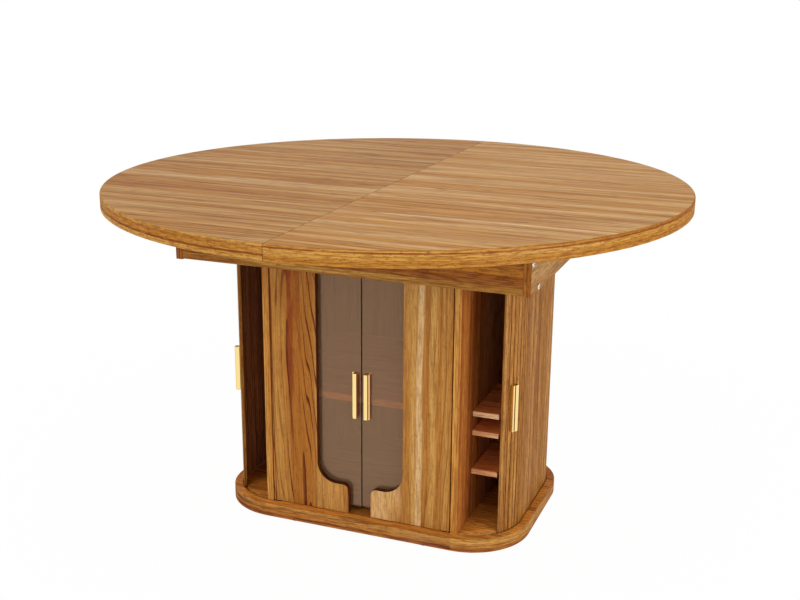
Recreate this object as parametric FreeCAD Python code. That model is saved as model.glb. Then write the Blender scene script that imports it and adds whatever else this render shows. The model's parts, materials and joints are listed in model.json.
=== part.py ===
"""Round kitchen table on a storage cabinet with two glass doors and two tambours.

Millimetres. Origin on the floor under the middle of the top; +X runs along the cabinet,
-Y is the front, +Z is up.
"""
import math
import os

import FreeCAD
import Part

V = FreeCAD.Vector

# ---- driving dimensions -------------------------------------------------------------
# top
top_diameter = 1300.0
table_height = 760.0
top_thickness = 32.0
top_edge_bevel = 2.5
seam_gap = 0.8

# apron box under the top
apron_end_overhang = 54.0
apron_front_overhang = 79.5
apron_height = 99.0
board = 16.0
tray_thickness = 15.0
end_board_drop = 2.0

# cabinet body
door_opening = 430.0
bay_width = 110.0
cabinet_depth = 448.0
end_radius = 118.5

# plinth
plinth_end_margin = 20.0
plinth_front_margin = 21.5
plinth_thickness = 30.0
plinth_edge_bevel = 1.5
foot_height = 6.0
foot_radius = 11.0
foot_inset = 19.0
foot_spacing = 314.0

# doors
door_thickness = 15.0
door_side_gap = 2.5
door_end_gap = 2.0
meeting_gap = 2.4
cutout_width = 205.0
cutout_sill = 70.0
cutout_radius = 45.0
toe_gap = 54.0
toe_radius = 14.0
glass_thickness = 5.0
glass_overlap = 20.0
glass_rise = 16.0
glass_corner_radius = 3.0
pivot_inset = 5.0
pivot_radius = 2.5
pivot_length = 18.0
pivot_end_gap = 1.0
bush_depth = 8.0
bush_length = 20.0
bush_width = 9.0
bush_side_gap = 0.5
running_clearance = 0.05

# handles
handle_length = 105.0
handle_width = 9.0
handle_depth = 11.0
handle_wall = 2.0
door_handle_height = 320.0
tambour_handle_height = 324.0
handle_offset = 13.0
handle_seat_gap = 0.1

# tambours
slat_thickness = 6.0
slat_gap = 0.5
slat_pitch = 11.0
slat_bevel = 0.8
lead_slat_width = 15.0
closing_angle = 45.0
lead_clearance = 0.56
tail_cover_angle = 3.0
tail_end_angle = 80.0
tail_clearance = 3.0
segment_count = 3
segment_slats = 3
slat_lift = 0.5
tongue_width = 10.0
tongue_thickness = 3.5
groove_outer_gap = 2.2
groove_inner_gap = 1.3
groove_depth = 6.0
handle_lag_angle = 14.3

# rear of the cabinet
housing_clearance = 2.5
housing_thickness = 3.0
seat_gap = 0.3

# shelves
shelf_thickness = 15.0
shelf_top = 312.0
shelf_setback = 29.0
pin_radius = 2.5
pin_length = 16.0
pin_setback = 40.0
bay_shelf_tops = (153.0, 245.0, 290.0)
bay_shelf_thickness = 12.0
bay_shelf_width = 60.0
bay_shelf_setback = 93.0
bay_shelf_depth = 191.0

# fastenings
bolt_head_radius = 6.5
bolt_head_height = 2.5
bolt_head_bevel = 1.5
bolt_radius = 3.0
bolt_length = 50.0
bolt_setback = 55.0
corner_block_size = 70.0
corner_block_height = 24.0
bracket_spacing = 178.0
bracket_length = 36.7
bracket_width = 24.0
bracket_thickness = 2.0
strike_size = 12.0
strike_thickness = 1.5
catch_width = 60.0
catch_depth = 12.0
catch_height = 10.0
clip_width = 10.0
clip_thickness = 1.5
clip_overlap = 7.0
clip_foot = 9.0
clip_count = 4
clip_end_setback = 45.0

# ---- places that follow from them ---------------------------------------------------
cabinet_length = door_opening + 2 * (board + bay_width)
apron_length = cabinet_length + 2 * apron_end_overhang
apron_depth = cabinet_depth + 2 * apron_front_overhang
plinth_length = cabinet_length + 2 * plinth_end_margin
plinth_depth = cabinet_depth + 2 * plinth_front_margin
plinth_radius = end_radius + plinth_end_margin
top_underside = table_height - top_thickness
tray_top = top_underside - apron_height
tray_underside = tray_top - tray_thickness
plinth_top = foot_height + plinth_thickness
front = -cabinet_depth / 2
apron_half = apron_length / 2
apron_inner = apron_half - board
partition_inner = door_opening / 2
partition_outer = partition_inner + board
bay_height = tray_underside - plinth_top

arc_x = cabinet_length / 2 - end_radius
arc_y = cabinet_depth / 2 - end_radius
track_radius = end_radius - slat_thickness / 2
straight_length = 2 * arc_y
closing_travel = track_radius * math.radians(closing_angle)
closed_angle = math.degrees(math.asin((partition_outer + lead_clearance - arc_x) / track_radius))
lead_angle = closed_angle + closing_angle
tail_room = (partition_outer + tail_clearance - arc_x) / (end_radius - slat_thickness)
tail_angle = min(tail_end_angle, math.degrees(math.acos(tail_room)))
housing_start_angle = tail_angle - closing_angle - tail_cover_angle

housing_inner = end_radius + housing_clearance
rear_inner = arc_y + housing_inner
housing_reach = math.sqrt(housing_inner ** 2 - max(0.0, partition_outer - arc_x) ** 2)
partition_rear = arc_y + housing_reach - seat_gap

door_outer_edge = partition_inner - door_side_gap
door_bottom = plinth_top + door_end_gap
door_top = tray_underside - door_end_gap
door_back = front + door_thickness
glass_back = door_back + glass_thickness
pivot_x = door_outer_edge - pivot_inset
pivot_y = front + pivot_inset

os.makedirs("parts", exist_ok=True)


# ---- small helpers ------------------------------------------------------------------
def save(name, *solids):
    """Write one node: a single solid, or a group of separate ones."""
    shape = solids[0] if len(solids) == 1 else Part.makeCompound(list(solids))
    shape.exportStep(f"parts/{name}.step")


def block(x0, x1, y0, y1, z0, z1):
    """A plain board between six planes."""
    return Part.makeBox(x1 - x0, y1 - y0, z1 - z0, V(x0, y0, z0))


def rod(radius, length, at, along=V(0, 0, 1)):
    """A round bar that starts at a point."""
    return Part.makeCylinder(radius, length, at, along)


def prism(points, z0, z1):
    """A polygon drawn in plan and raised from z0 to z1."""
    loop = Part.makePolygon([V(x, y, z0) for x, y in points + points[:1]])
    return Part.Face(loop).extrude(V(0, 0, z1 - z0))


def rounded_plan(length, depth, radius, z0, z1):
    """A board with four round corners, centred on the origin."""
    corner = block(-length / 2, length / 2, -depth / 2, depth / 2, z0, z1)
    upright = [e for e in corner.Edges if abs(e.tangentAt(e.FirstParameter).z) > 0.9]
    return corner.makeFillet(radius, upright)


def mirrored(solid):
    """The same piece on the left-hand side."""
    return solid.mirror(V(0, 0, 0), V(1, 0, 0))


def turned(solid, centre, degrees):
    """A copy turned about an upright axis through (x, y)."""
    copy = solid.copy()
    copy.rotate(V(centre[0], centre[1], 0), V(0, 0, 1), degrees)
    return copy


# ---- tabletop -----------------------------------------------------------------------
def tabletop():
    """Two half discs with an eased upper rim, butted along a seam from front to back."""
    disc = rod(top_diameter / 2, top_thickness, V(0, 0, top_underside))
    rim = [e for e in disc.Edges if abs(e.BoundBox.ZMin - table_height) < 1e-6]
    disc = disc.makeChamfer(top_edge_bevel, [e for e in rim if e.Closed])
    reach = top_diameter
    right_side = block(seam_gap / 2, reach, -reach, reach, 0, 2 * table_height)
    right = disc.common(right_side).Solids[0]
    save("top_right", right)
    save("top_left", mirrored(right))

    x0 = board / 2 + seat_gap
    plates = []
    for step in (-1, 0, 1):
        y = step * bracket_spacing
        plate = block(x0, x0 + bracket_length, y - bracket_width / 2, y + bracket_width / 2,
                      top_underside - bracket_thickness, top_underside)
        plates += [plate, mirrored(plate)]
    save("seam_brackets", *plates)


# ---- apron box ----------------------------------------------------------------------
def bolt_places():
    """(y, z) of the capped bolts in one end board: two rails and the tray."""
    rail_y = apron_depth / 2 - board / 2
    rail_z = (tray_top + top_underside) / 2
    tray_y = apron_depth / 2 - bolt_setback
    tray_z = tray_underside + tray_thickness / 2
    return [(-rail_y, rail_z), (rail_y, rail_z), (-tray_y, tray_z), (tray_y, tray_z)]


def corner_blocks():
    """Three-cornered blocks that hold the top inside the corners of the apron."""
    x = apron_inner
    y = apron_depth / 2 - board
    outline = [(x, y), (x - corner_block_size, y), (x, y - corner_block_size)]
    rear = prism(outline, top_underside - corner_block_height, top_underside)
    front_one = rear.mirror(V(0, 0, 0), V(0, 1, 0))
    save("apron_corner_blocks", rear, front_one, mirrored(rear), mirrored(front_one))


def apron_box():
    """Four upright boards and the tray, bolted through the end boards."""
    depth = apron_depth / 2
    shanks = []
    bolts = []
    for y, z in bolt_places():
        seat = V(apron_half, y, z)
        shank = rod(bolt_radius, bolt_length, seat, V(-1, 0, 0))
        head = Part.makeCone(bolt_head_radius, bolt_head_radius - bolt_head_bevel,
                             bolt_head_height, seat, V(1, 0, 0))
        shanks.append(shank)
        bolts.append(shank.fuse(head).removeSplitter())
    holes = shanks + [mirrored(s) for s in shanks]
    save("apron_bolts", *(bolts + [mirrored(b) for b in bolts]))

    rail = block(-apron_inner, apron_inner, -depth, -depth + board, tray_top, top_underside)
    save("apron_front", rail.cut(holes))
    back = block(-apron_inner, apron_inner, depth - board, depth, tray_top, top_underside)
    save("apron_back", back.cut(holes))
    middle = block(-board / 2, board / 2, -depth + board, depth - board,
                   tray_top, top_underside)
    save("apron_middle_rail", middle)
    end = block(apron_inner, apron_half, -depth, depth,
                tray_underside - end_board_drop, top_underside)
    end = end.cut(holes)
    save("end_board_right", end)
    save("end_board_left", mirrored(end))

    tray = block(-apron_inner, apron_inner, -depth, depth, tray_underside, tray_top)
    tray = tray.cut(holes + [track_groove(tray_underside, 1)] + bush_seats(tray_underside, 1))
    save("cabinet_ceiling", tray)


# ---- plinth -------------------------------------------------------------------------
def track_groove(level, direction):
    """The tambour's groove round both ends, cut up or down from a level."""
    outer = groove_outer_gap
    inner = -slat_thickness - groove_inner_gap
    z0, z1 = sorted((level, level + direction * groove_depth))
    ring = []
    for offset in (outer, inner):
        ring.append(rounded_plan(cabinet_length + 2 * offset, cabinet_depth + 2 * offset,
                                 end_radius + offset, z0, z1))
    groove = ring[0].cut(ring[1])
    middle = block(-partition_outer, partition_outer, -plinth_depth, plinth_depth, z0, z1)
    return groove.cut(middle)


def bush_block(level, direction):
    """The right-hand door's bush before it is bored, sunk up or down from a level."""
    x1 = partition_inner - bush_side_gap
    z0, z1 = sorted((level, level + direction * bush_depth))
    return block(x1 - bush_length, x1, pivot_y - bush_width / 2, pivot_y + bush_width / 2, z0, z1)


def bush_seats(level, direction):
    """Pockets for both doors' bushes, cut up or down from a level."""
    right = bush_block(level, direction)
    return [right, mirrored(right)]


def plinth():
    """The base board with round corners, its grooves and its feet."""
    base = rounded_plan(plinth_length, plinth_depth, plinth_radius, foot_height, plinth_top)
    rim = [e for e in base.Edges if e.BoundBox.ZMin > plinth_top - 1e-6]
    base = base.makeChamfer(plinth_edge_bevel, rim)
    base = base.cut([track_groove(plinth_top, -1)] + bush_seats(plinth_top, -1))
    save("plinth_board", base)

    foot_x = plinth_length / 2 - foot_inset
    foot_y = plinth_depth / 2 - foot_inset
    places = [(x, y) for x in (-foot_spacing / 2, foot_spacing / 2) for y in (-foot_y, foot_y)]
    places += [(-foot_x, 0.0), (foot_x, 0.0)]
    save("plinth_feet", *[rod(foot_radius, foot_height, V(x, y, 0)) for x, y in places])


# ---- cabinet body -------------------------------------------------------------------
def cabinet_body():
    """Partitions, back panel and the round housings behind the tambours."""
    right = block(partition_inner, partition_outer, front, partition_rear,
                  plinth_top, tray_underside)
    pins = [rod(pin_radius, pin_length, V(partition_inner + pin_length / 2, y, z), V(-1, 0, 0))
            for y, z in pin_places()]
    drilled = right.cut(pins)
    save("partition_right", drilled)
    save("partition_left", mirrored(drilled))
    save("shelf_pins", *(pins + [mirrored(p) for p in pins]))

    back = block(-arc_x, arc_x, rear_inner, rear_inner + housing_thickness,
                 plinth_top, tray_underside)
    save("back_panel", back)

    outer = rod(housing_inner + housing_thickness, bay_height, V(arc_x, arc_y, plinth_top))
    inner = rod(housing_inner, bay_height, V(arc_x, arc_y, plinth_top))
    reach = 2 * housing_inner
    start = math.radians(housing_start_angle)
    edge = (arc_x + reach * math.cos(start), arc_y + reach * math.sin(start))
    wedge = prism([(arc_x, arc_y), edge, (arc_x + reach, arc_y + reach), (arc_x, arc_y + reach)],
                  plinth_top, tray_underside)
    corner = outer.cut(inner).common(wedge)
    save("rear_corner_right", corner)
    save("rear_corner_left", mirrored(corner))


# ---- shelves ------------------------------------------------------------------------
def pin_places():
    """(y, z) of the pins under the centre shelf, on the right-hand partition."""
    z = shelf_top - shelf_thickness - pin_radius
    return [(front + shelf_setback + pin_setback, z), (partition_rear - pin_setback, z)]


def shelves():
    """The shelf behind the glass and the three narrow ones in the right-hand bay."""
    save("centre_shelf", block(-partition_inner + seat_gap, partition_inner - seat_gap,
                               front + shelf_setback, partition_rear - seat_gap,
                               shelf_top - shelf_thickness, shelf_top))
    names = ("bay_shelf_lower", "bay_shelf_middle", "bay_shelf_upper")
    y0 = front + bay_shelf_setback
    for name, level in zip(names, bay_shelf_tops):
        save(name, block(partition_outer, partition_outer + bay_shelf_width,
                         y0, y0 + bay_shelf_depth, level - bay_shelf_thickness, level))


# ---- doors --------------------------------------------------------------------------
def wood_panel():
    """Right door's panel: a tall stile that sweeps into a toe below the glass."""
    inner = cutout_width / 2
    sill = plinth_top + cutout_sill
    toe = toe_gap / 2
    y = front

    def at(x, z):
        return V(x, y, z)

    slope = math.sqrt(0.5)
    corner = at(inner - cutout_radius, sill + cutout_radius)
    corner_mid = at(corner.x + cutout_radius * slope, corner.z - cutout_radius * slope)
    nose = at(toe + toe_radius, sill - toe_radius)
    nose_mid = at(nose.x - toe_radius * slope, nose.z + toe_radius * slope)
    edges = [
        Part.LineSegment(at(toe, door_bottom), at(door_outer_edge, door_bottom)),
        Part.LineSegment(at(door_outer_edge, door_bottom), at(door_outer_edge, door_top)),
        Part.LineSegment(at(door_outer_edge, door_top), at(inner, door_top)),
        Part.LineSegment(at(inner, door_top), at(inner, corner.z)),
        Part.Arc(at(inner, corner.z), corner_mid, at(corner.x, sill)),
        Part.LineSegment(at(corner.x, sill), at(nose.x, sill)),
        Part.Arc(at(nose.x, sill), nose_mid, at(toe, nose.z)),
        Part.LineSegment(at(toe, nose.z), at(toe, door_bottom)),
    ]
    outline = Part.Wire([e.toShape() for e in edges])
    return Part.Face(outline).extrude(V(0, door_thickness, 0))


def bar_handle(height):
    """A folded channel round a height, open at both ends and towards its seat on Y = 0."""
    half = handle_width / 2
    inside = half - handle_wall
    outer = block(-half, half, -handle_depth, 0, 0, handle_length)
    hollow = block(-inside, inside, -handle_depth + handle_wall, 0, 0, handle_length)
    shell = outer.cut(hollow)
    shell.translate(V(0, 0, height - handle_length / 2))
    return shell


def doors():
    """Two hinged doors, each a shaped panel, a glass, a handle, pivots and fixings."""
    inner = meeting_gap / 2
    glass_edge = cutout_width / 2 + glass_overlap
    glass = block(inner, glass_edge, door_back, glass_back,
                  plinth_top + glass_rise, door_top - door_end_gap)
    upright = [e for e in glass.Edges if abs(e.tangentAt(e.FirstParameter).y) > 0.9]
    glass = glass.makeFillet(glass_corner_radius, upright)
    handle = bar_handle(door_handle_height)
    handle.translate(V(handle_offset, door_back, 0))

    pins = []
    for level, direction in ((door_bottom, 1), (door_top, -1)):
        inside = pivot_length + pivot_end_gap - bush_depth - door_end_gap
        start = V(pivot_x, pivot_y, level + direction * inside)
        pins.append(rod(pivot_radius, pivot_length, start, V(0, 0, -direction)))
    panel = wood_panel().cut(pins)

    box = glass.BoundBox
    lowest = box.ZMin + clip_end_setback
    pitch = (box.ZMax - clip_end_setback - lowest) / (clip_count - 1)
    clips = []
    for i in range(clip_count):
        z = lowest + i * pitch - clip_width / 2
        foot = block(glass_edge, glass_edge + clip_foot, door_back, glass_back, z, z + clip_width)
        tab = block(glass_edge - clip_overlap, glass_edge + clip_foot,
                    glass_back, glass_back + clip_thickness, z, z + clip_width)
        clips.append(foot.fuse(tab).removeSplitter())
    strike_x = inner + catch_width / 4 - strike_size / 2
    strike = block(strike_x, strike_x + strike_size, glass_back, glass_back + strike_thickness,
                   box.ZMax - strike_size, box.ZMax)

    pieces = {"panel": [panel], "glass": [glass], "handle": [handle],
              "pivots": pins, "glass_clips": clips, "strike": [strike]}
    for piece, solids in pieces.items():
        save(f"door_right_{piece}", *solids)
        save(f"door_left_{piece}", *[mirrored(s) for s in solids])

    bushes = []
    for level, direction in ((plinth_top, -1), (tray_underside, 1)):
        bore = rod(pivot_radius + running_clearance, bush_depth, V(pivot_x, pivot_y, level),
                   V(0, 0, direction))
        bushes.append(bush_block(level, direction).cut(bore))
    save("pivot_bushes", *(bushes + [mirrored(b) for b in bushes]))

    y0 = glass_back + strike_thickness + seat_gap
    save("door_catch", block(-catch_width / 2, catch_width / 2, y0, y0 + catch_depth,
                             tray_underside - catch_height, tray_underside))


# ---- tambours -----------------------------------------------------------------------
def slat(centre, outward, width, bevel_angle, tongues=False):
    """One upright slat. centre is on the track, outward is its facing direction."""
    along = (-outward[1], outward[0])
    half_t = slat_thickness / 2
    half_w = (width - slat_gap) / 2
    taper = slat_thickness * math.tan(bevel_angle) + slat_bevel / 2

    def at(u, w):
        return (centre[0] + along[0] * u + outward[0] * w,
                centre[1] + along[1] * u + outward[1] * w)

    outline = [
        at(-half_w + slat_bevel / 2, half_t),
        at(half_w - slat_bevel / 2, half_t),
        at(half_w, half_t - slat_bevel),
        at(half_w - taper, -half_t),
        at(-half_w + taper, -half_t),
        at(-half_w, half_t - slat_bevel),
    ]
    body = prism(outline, plinth_top + slat_lift, tray_underside - slat_lift)
    if tongues:
        reach = min(tongue_width, width - 2 * slat_bevel) / 2
        thick = tongue_thickness / 2
        tongue = prism([at(-reach, -thick), at(reach, -thick), at(reach, thick), at(-reach, thick)],
                       plinth_top - groove_depth + seat_gap,
                       tray_underside + groove_depth - 2 * slat_lift)
        body = body.fuse(tongue).removeSplitter()
    return body


def front_slats(start, end, count):
    """Slats round the front corner, from one angle to another; 0 faces front."""
    step = (end - start) / count
    return [corner_slat(start + step * (i + 0.5), step, -1) for i in range(count)]


def corner_slat(angle, step, side, tongues=False):
    """One slat on a corner. side -1 is the front corner, +1 the rear one."""
    turn = math.radians(angle)
    if side < 0:
        outward = (math.sin(turn), -math.cos(turn))
    else:
        outward = (math.cos(turn), math.sin(turn))
    centre = (arc_x + track_radius * outward[0], side * arc_y + track_radius * outward[1])
    width = track_radius * math.radians(step)
    return slat(centre, outward, width, math.radians(step) / 2, tongues)


def straight_slats(start, length, count, first_tongued=False):
    """Slats on the straight end; start is measured back from the front corner."""
    step = length / count
    x = arc_x + track_radius
    slats = []
    for i in range(count):
        y = -arc_y + start + step * (i + 0.5)
        slats.append(slat((x, y), (1, 0), step, 0.0, first_tongued and i == 0))
    return slats


def tambour_groups():
    """The slats of the right-hand tambour, grouped by how they travel."""
    lead_step = math.degrees(lead_slat_width / track_radius)
    after_lead = lead_angle + lead_step
    arc_left = track_radius * math.radians(90 - after_lead)
    lead = [corner_slat(lead_angle + lead_step / 2, lead_step, -1, True)]
    groups = {"lead": lead + front_slats(after_lead, 90, max(1, round(arc_left / slat_pitch)))}

    piece = closing_travel / segment_count
    for k in range(segment_count):
        groups[f"front_turn_{k + 1}"] = straight_slats(k * piece, piece, segment_slats)
    run = straight_length - closing_travel
    groups["side"] = straight_slats(closing_travel, run, max(1, round(run / slat_pitch)), True)

    sweep = closing_angle / segment_count
    for k in range(segment_count):
        step = sweep / segment_slats
        groups[f"rear_turn_{k + 1}"] = [corner_slat(k * sweep + step * (i + 0.5), step, 1)
                                        for i in range(segment_slats)]
    tail = tail_angle - closing_angle
    count = max(1, round(track_radius * math.radians(tail) / slat_pitch))
    groups["tail"] = [corner_slat(closing_angle + tail / count * (i + 0.5), tail / count, 1)
                      for i in range(count)]
    return groups


def tambours():
    """Both tambours and their handles."""
    for group, slats in tambour_groups().items():
        save(f"tambour_right_{group}", *slats)
        save(f"tambour_left_{group}", *[mirrored(s) for s in slats])
    handle = bar_handle(tambour_handle_height)
    handle.translate(V(arc_x, -arc_y - end_radius - handle_seat_gap, 0))
    handle = turned(handle, (arc_x, -arc_y), lead_angle + handle_lag_angle)
    save("tambour_right_handle", handle)
    save("tambour_left_handle", mirrored(handle))


tabletop()
apron_box()
corner_blocks()
plinth()
cabinet_body()
shelves()
doors()
tambours()
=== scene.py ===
"""Finish and fine detail of a round kitchen table on a storage cabinet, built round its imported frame.

Metres, in the frame's own axes: +X runs along the cabinet, -Y is the front, +Z is up.
"""
import json
import math

import bmesh
import bpy
from mathutils import Matrix, Vector

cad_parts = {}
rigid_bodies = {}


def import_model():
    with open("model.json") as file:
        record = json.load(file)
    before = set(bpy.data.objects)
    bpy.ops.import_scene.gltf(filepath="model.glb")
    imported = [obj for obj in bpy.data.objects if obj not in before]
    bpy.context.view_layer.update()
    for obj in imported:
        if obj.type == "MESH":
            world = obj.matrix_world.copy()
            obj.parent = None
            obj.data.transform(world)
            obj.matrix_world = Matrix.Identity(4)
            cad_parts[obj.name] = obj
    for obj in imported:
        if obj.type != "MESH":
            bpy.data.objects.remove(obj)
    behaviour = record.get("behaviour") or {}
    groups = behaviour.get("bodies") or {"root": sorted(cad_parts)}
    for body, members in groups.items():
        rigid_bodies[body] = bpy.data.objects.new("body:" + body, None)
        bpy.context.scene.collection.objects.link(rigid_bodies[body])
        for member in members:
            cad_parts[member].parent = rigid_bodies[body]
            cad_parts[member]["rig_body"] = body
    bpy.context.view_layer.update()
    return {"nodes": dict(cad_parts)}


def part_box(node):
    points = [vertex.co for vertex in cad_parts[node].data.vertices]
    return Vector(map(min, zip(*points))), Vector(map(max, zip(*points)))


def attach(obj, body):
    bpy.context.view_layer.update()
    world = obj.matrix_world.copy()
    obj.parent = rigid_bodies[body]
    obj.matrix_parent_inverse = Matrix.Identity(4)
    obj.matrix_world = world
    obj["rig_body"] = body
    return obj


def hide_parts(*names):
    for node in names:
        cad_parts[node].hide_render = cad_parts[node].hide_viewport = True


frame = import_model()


# ---- plinth -------------------------------------------------------------------------
# A 30 mm furniture board under the whole cabinet, faced with printed oak paper. Its round edge is
# banded with a strip of the same print, glued on in lengths, and its top holds the tambours' grooves.
MM = 0.001


def add(tree, kind, settings, sources):
    """One node of a material, with its settings and with values or other nodes' outputs on its sockets.

    A socket goes by its name, or by its number where a node has several of one name. Map Range's are
    numbered too: 0 is the value, 1 and 2 the ends of its range, and 3 and 4 what those ends give. Mix
    takes its share at 0 and its two colours at 6 and 7.
    """
    made = tree.nodes.new(kind)
    for name, value in settings.items():
        setattr(made, name, value)
    for socket, source in sources.items():
        if isinstance(source, bpy.types.NodeSocket):
            tree.links.new(source, made.inputs[socket])
        else:
            made.inputs[socket].default_value = source
    return made


def linear(hex_colour):
    """An sRGB hex colour as the linear RGBA that a shader takes."""
    shares = [int(hex_colour[i:i + 2], 16) / 255 for i in (1, 3, 5)]
    lit = [s / 12.92 if s <= 0.04045 else ((s + 0.055) / 1.055) ** 2.4 for s in shares]
    return (*lit, 1.0)


def blank(name, **constants):
    """A new material with its Principled shader, whose constants stand on the shader's own sockets."""
    material = bpy.data.materials.new(name)
    material.use_nodes = True
    tree = material.node_tree
    shader = tree.nodes["Principled BSDF"]
    for socket, value in constants.items():
        shader.inputs[socket.replace("_", " ")].default_value = value
    return material, tree, shader


# how the print is turned so that its grain runs along one of the frame's axes
GRAIN_ALONG = {"x": (0.0, 0.0, 0.0), "y": (0.0, 0.0, -math.pi / 2), "z": (0.0, math.pi / 2, 0.0)}
# how far through its width a ring is darkest, and by how many rings the slow noise shifts it
RING_CREST, RING_SHIFT = 0.94, 3.5


def printed_wood(name, light, dark, streak, line, grain="x", roughness=0.4, gloss=0.2,
                 shift=(0.0, 0.0, 0.0), banded=False, band_width=60.0, streak_width=24.0,
                 streak_share=0.6, line_share=0.45, fibre_share=0.5, ring_spacing=9.0, ring_dark=0.6,
                 fibre_size=(40.0, 3.0), pore_size=(13.0, 2.0), pore_share=0.5,
                 pith=(-140.0, 260.0), tilt=(0.0, 0.0), waviness=10.0, marks=()):
    """Melamine paper with a printed wood figure, satin, with the print's pores pressed in very lightly.

    The figure is a sawn log's: rings about a pith that lies off the board, bent by slow noise, over
    broad light and dark bands and darker streaks, all long and thin along the grain, with fibres and
    pores on top that are drawn about twice as wide as real ones so that they show. The paper itself is
    matt, and its thin clear resin gives the satin, so the gloss is a share of a coat.

    The four colours are those of the light bands, of the dark bands, of the streaks, and of the rings,
    fibres and pores. Sizes are in mm: a width is across the grain, and a pair is a length and a width.
    Each mark is a long stripe: the axis across it (1 or 2), its place and half width, its share and
    colour, and where along the grain it begins to fade in and is all there.
    """
    material, tree, shader = blank(name, Roughness=roughness, IOR=1.5, Specular_IOR_Level=0.0,
                                   Coat_Weight=gloss, Coat_Roughness=roughness)
    place = add(tree, "ShaderNodeTexCoord", {}, {}).outputs["UV" if banded else "Object"]
    laid = add(tree, "ShaderNodeMapping", {}, {
        "Vector": place, "Scale": (1 / MM, 1 / MM, 1 / MM), "Rotation": GRAIN_ALONG[grain],
        "Location": shift}).outputs[0]

    # the slow bend of the whole figure, over 700 mm of its length and 150 mm of its width; the noise
    # strays about a quarter from its middle, so four times the waviness bends the grain by that much
    slow = add(tree, "ShaderNodeMapping", {}, {"Vector": laid, "Scale": (1 / 700, 1 / 150, 1 / 150)})
    sway = add(tree, "ShaderNodeTexNoise", {}, {"Vector": slow.outputs[0], "Scale": 1.0, "Detail": 1.0})
    sway = add(tree, "ShaderNodeVectorMath", {"operation": "SUBTRACT"}, {
        0: sway.outputs["Color"], 1: (0.5, 0.5, 0.5)}).outputs[0]
    sway = add(tree, "ShaderNodeVectorMath", {"operation": "MULTIPLY"}, {
        0: sway, 1: (0.0, 4 * waviness, 4 * waviness)}).outputs[0]
    bent = add(tree, "ShaderNodeVectorMath", {}, {0: laid, 1: sway}).outputs[0]

    # the figure's long thin parts: each one's length and width in mm, detail, and place in the noise
    figure = {}
    for part, source, length, width, detail, offset in (
            ("uneven", laid, 700.0, 40.0, 2.0, 7.0),
            ("patches", laid, 500.0, 26.0, 1.0, 3.0),
            ("bands", bent, 1500.0, band_width, 2.0, 0.0),
            ("streaks", bent, 850.0, streak_width, 2.0, 11.0),
            ("breaks", laid, 90.0, 30.0, 3.0, 5.0),
            ("fibres", laid, *fibre_size, 3.0, 0.0),
            ("pores", laid, *pore_size, 1.0, 2.0)):
        cell = add(tree, "ShaderNodeMapping", {}, {
            "Vector": source, "Location": (offset, offset, offset),
            "Scale": (1 / length, 1 / width, 1 / width)}).outputs[0]
        figure[part] = add(tree, "ShaderNodeTexNoise", {}, {
            "Vector": cell, "Scale": 1.0, "Detail": detail}).outputs[0]

    # the rings: how far through its own, uneven ring each point lies, and dark near the crest
    log = add(tree, "ShaderNodeMapping", {}, {
        "Vector": bent, "Rotation": (0.0, tilt[0], tilt[1]),
        "Location": (0.0, pith[0], pith[1])}).outputs[0]
    log = add(tree, "ShaderNodeVectorMath", {"operation": "MULTIPLY"}, {0: log, 1: (0.0, 1.0, 1.0)})
    distance = add(tree, "ShaderNodeVectorMath", {"operation": "LENGTH"}, {0: log.outputs[0]})
    ring = add(tree, "ShaderNodeMath", {"operation": "DIVIDE"}, {
        0: distance.outputs["Value"], 1: ring_spacing}).outputs[0]
    ring = add(tree, "ShaderNodeMath", {"operation": "MULTIPLY_ADD"}, {
        0: figure["uneven"], 1: RING_SHIFT, 2: ring}).outputs[0]
    ring = add(tree, "ShaderNodeMath", {"operation": "FRACT"}, {0: ring}).outputs[0]
    late = 1.0
    for value, low, high, at_low, at_high in (
            (ring, ring_dark, RING_CREST, 0.0, 1.0), (ring, RING_CREST, 1.0, 1.0, 0.0),
            (figure["patches"], 0.35, 0.6, 0.3, 1.0)):
        eased_in = add(tree, "ShaderNodeMapRange", {"interpolation_type": "SMOOTHSTEP"}, {
            0: value, 1: low, 2: high, 3: at_low, 4: at_high}).outputs[0]
        late = add(tree, "ShaderNodeMath", {"operation": "MULTIPLY"}, {0: eased_in, 1: late}).outputs[0]
    figure["rings"] = late

    # the marks: a broken stripe each, soft at its sides
    across = add(tree, "ShaderNodeSeparateXYZ", {}, {0: bent}).outputs
    stripes = []
    for number, (axis, middle, half_width, share, colour, fade_from, fade_to) in enumerate(marks):
        off = add(tree, "ShaderNodeMath", {"operation": "SUBTRACT"}, {
            0: across[axis], 1: middle}).outputs[0]
        off = add(tree, "ShaderNodeMath", {"operation": "ABSOLUTE"}, {0: off}).outputs[0]
        stripe = 1.0
        for value, low, high, at_low, at_high in (
                (off, 0.4 * half_width, 1.3 * half_width, 1.0, 0.0),
                (figure["breaks"], 0.3, 0.55, 0.4, 1.0),
                (across[0], fade_from, fade_to, 0.0, 1.0)):
            eased_in = add(tree, "ShaderNodeMapRange", {"interpolation_type": "SMOOTHSTEP"}, {
                0: value, 1: low, 2: high, 3: at_low, 4: at_high}).outputs[0]
            stripe = add(tree, "ShaderNodeMath", {"operation": "MULTIPLY"}, {
                0: eased_in, 1: stripe}).outputs[0]
        figure[f"mark {number}"] = stripe
        stripes.append((f"mark {number}", 0.0, 1.0, 0.0, share, colour))

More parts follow.
